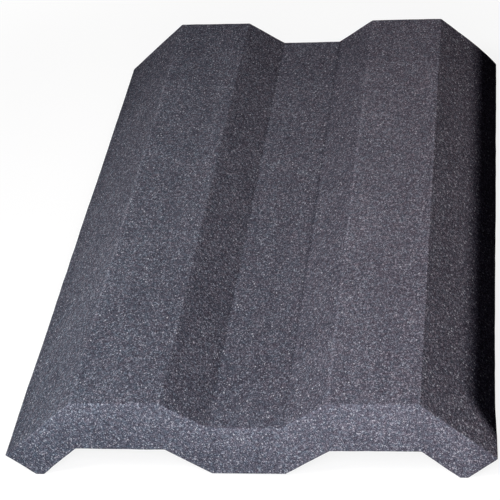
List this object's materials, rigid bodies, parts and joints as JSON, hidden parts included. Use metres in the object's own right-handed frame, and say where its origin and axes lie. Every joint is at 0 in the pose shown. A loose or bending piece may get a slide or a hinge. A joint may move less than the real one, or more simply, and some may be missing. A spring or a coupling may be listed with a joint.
{
  "type": "acoustic absorption panel",
  "caption": "Open-cell foam sound absorber cut to a folded section of even thickness, with flat ridges, a flat valley and sloping sides, and self-adhesive wall pads under the valley.",
  "frame": {"origin": "middle of the panel's footprint, on the plane of the wall or floor that its two side lands stand on", "axes": "+X across the folds, +Y along the folds, +Z out of the wall towards the room"},
  "size_m": [0.6, 1, 0.11],
  "materials": {
    "acoustic_foam": "charcoal open-cell foam, matt, with fine pale glints from cut cell walls",
    "pad_foam": "white closed-cell tape foam, matt",
    "release_film": "siliconed release film, satin"
  },
  "bodies": {
    "root": {"foam_panel": "acoustic_foam", "mounting_pad_1": "pad_foam", "mounting_pad_2": "pad_foam", "mounting_pad_3": "pad_foam", "mounting_pad_4": "pad_foam", "mounting_pad_5": "pad_foam", "release_liner_1": "release_film", "release_liner_2": "release_film", "release_liner_3": "release_film", "release_liner_4": "release_film", "release_liner_5": "release_film"}
  },
  "joints": []
}
